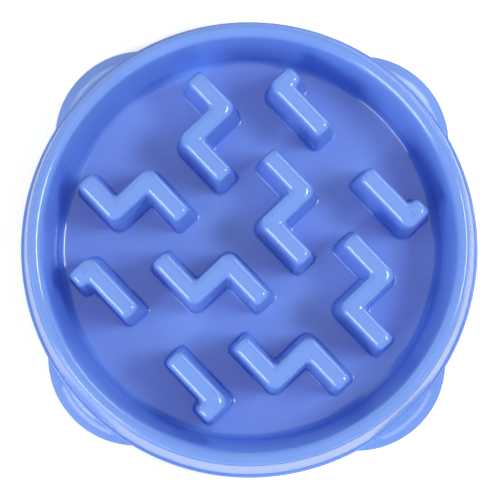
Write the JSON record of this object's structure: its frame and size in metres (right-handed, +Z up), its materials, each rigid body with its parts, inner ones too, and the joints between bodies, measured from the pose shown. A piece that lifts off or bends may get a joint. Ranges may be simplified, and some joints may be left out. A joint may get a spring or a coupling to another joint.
{
  "type": "slow feeder bowl",
  "caption": "Round plastic pet bowl on a square base with rounded corners and rubber feet; upright zigzag and hooked ridges on its floor make a maze that slows eating.",
  "frame": {"origin": "on the ground under the middle of the bowl", "axes": "+Z up; the ridges run along X and Y, the corners of the base lie on X and Y, and the maze is its own mirror image about the XZ plane"},
  "size_m": [0.233, 0.233, 0.05],
  "materials": {
    "bowl_plastic": "glossy moulded polypropylene, cornflower blue",
    "foot_rubber": "matt grey rubber"
  },
  "bodies": {
    "root": {"basin_floor": "bowl_plastic", "basin_wall": "bowl_plastic", "skirt": "bowl_plastic", "base": "bowl_plastic", "zigzag_ridge_1_left": "bowl_plastic", "zigzag_ridge_2_left": "bowl_plastic", "zigzag_ridge_3_left": "bowl_plastic", "zigzag_ridge_1_right": "bowl_plastic", "zigzag_ridge_2_right": "bowl_plastic", "zigzag_ridge_3_right": "bowl_plastic", "corner_ridge_back_left": "bowl_plastic", "corner_ridge_front_left": "bowl_plastic", "corner_ridge_back_right": "bowl_plastic", "corner_ridge_front_right": "bowl_plastic", "foot_boss_1": "bowl_plastic", "foot_boss_2": "bowl_plastic", "foot_boss_3": "bowl_plastic", "foot_boss_4": "bowl_plastic", "rubber_foot_1": "foot_rubber", "rubber_foot_2": "foot_rubber", "rubber_foot_3": "foot_rubber", "rubber_foot_4": "foot_rubber"}
  },
  "joints": []
}
